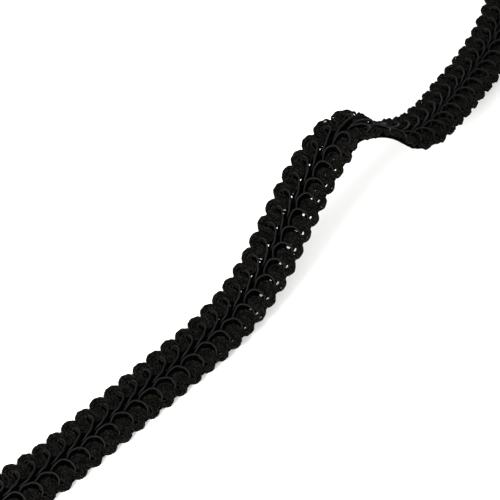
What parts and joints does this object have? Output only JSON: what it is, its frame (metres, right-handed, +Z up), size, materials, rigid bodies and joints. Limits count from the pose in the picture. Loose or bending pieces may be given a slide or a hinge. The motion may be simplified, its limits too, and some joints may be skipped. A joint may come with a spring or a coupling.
{
  "type": "cut length of scroll gimp braid trim",
  "caption": "Narrow black gimp braid trim with scalloped edges and raised scrolls, lying in a low wave that climbs to a crest, leans over and lies flat again.",
  "frame": {"origin": "below the middle of the braid's box, on the surface that it lies on", "axes": "+Z up off the surface; the braid runs from its end at -X -Y to its end at +X +Y, and +Y points away from the viewer"},
  "size_m": [0.1578, 0.1704, 0.0286],
  "materials": {
    "black_cotton_gimp": "matt black cotton yarn with a low satin gleam on its scroll cords"
  },
  "bodies": {
    "root": {"braid_trim": "black_cotton_gimp"}
  },
  "joints": []
}
